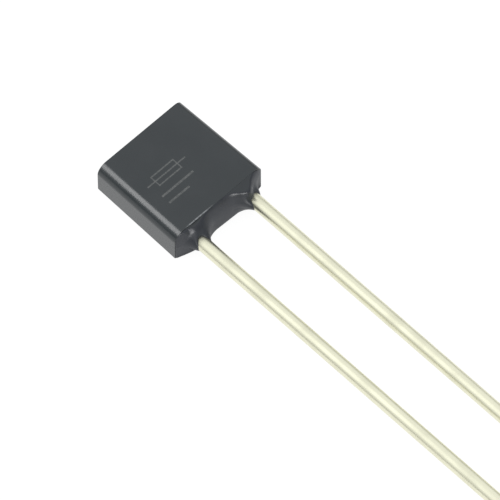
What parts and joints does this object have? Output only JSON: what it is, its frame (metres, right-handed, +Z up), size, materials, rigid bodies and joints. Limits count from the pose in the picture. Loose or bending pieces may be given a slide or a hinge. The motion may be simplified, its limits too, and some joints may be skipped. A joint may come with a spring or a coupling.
{
  "type": "thermal fuse",
  "caption": "Radial thermal fuse: flat moulded case potted with resin, with straight parallel leads that a fusible alloy link joins inside until it melts.",
  "frame": {"origin": "centre of the flat contact face below the case", "axes": "+X along the leads to their free tips, +Y across them, +Z up from the contact face through the thickness of the case"},
  "size_m": [0.0468, 0.0096, 0.0032],
  "materials": {
    "case_plastic": "satin moulded black",
    "sealing_epoxy": "glossy black, as cured",
    "tinned_copper": "bright tinned wire",
    "fusible_alloy": "dull drawn alloy",
    "flux_resin": "amber rosin"
  },
  "bodies": {
    "root": {"case": "case_plastic", "sealing_resin": "sealing_epoxy", "lead_left": "tinned_copper", "lead_right": "tinned_copper", "fusible_link": "fusible_alloy", "flux": "flux_resin"}
  },
  "joints": []
}
